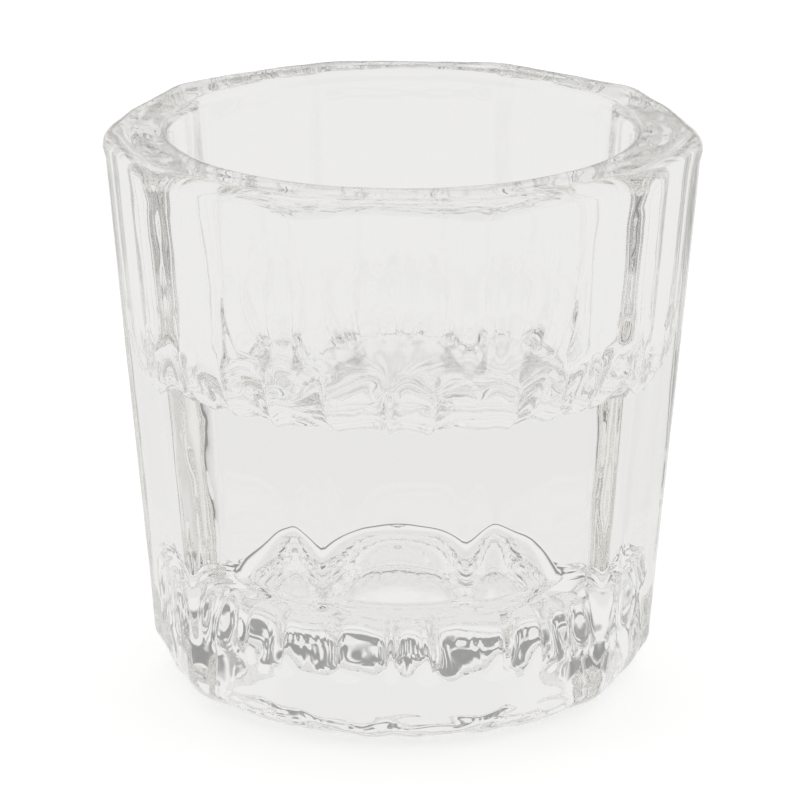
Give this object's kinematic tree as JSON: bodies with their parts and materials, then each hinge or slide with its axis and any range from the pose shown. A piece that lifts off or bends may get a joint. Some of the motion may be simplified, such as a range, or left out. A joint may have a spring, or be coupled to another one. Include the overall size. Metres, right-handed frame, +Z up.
{
  "type": "dappen dish",
  "caption": "Faceted clear glass dappen dish with a deep round well on top and a shallow domed well underneath, for nail liquid.",
  "frame": {"origin": "centre of the foot ring's underside, where the dish stands", "axes": "+Z up along the dish's axis towards the rim, -Y square out of one flat side, +X towards a corner"},
  "size_m": [0.0378, 0.0364, 0.036],
  "materials": {
    "clear_glass": "polished clear pressed glass, slightly rippled"
  },
  "bodies": {
    "root": {"dappen_dish": "clear_glass"}
  },
  "joints": []
}
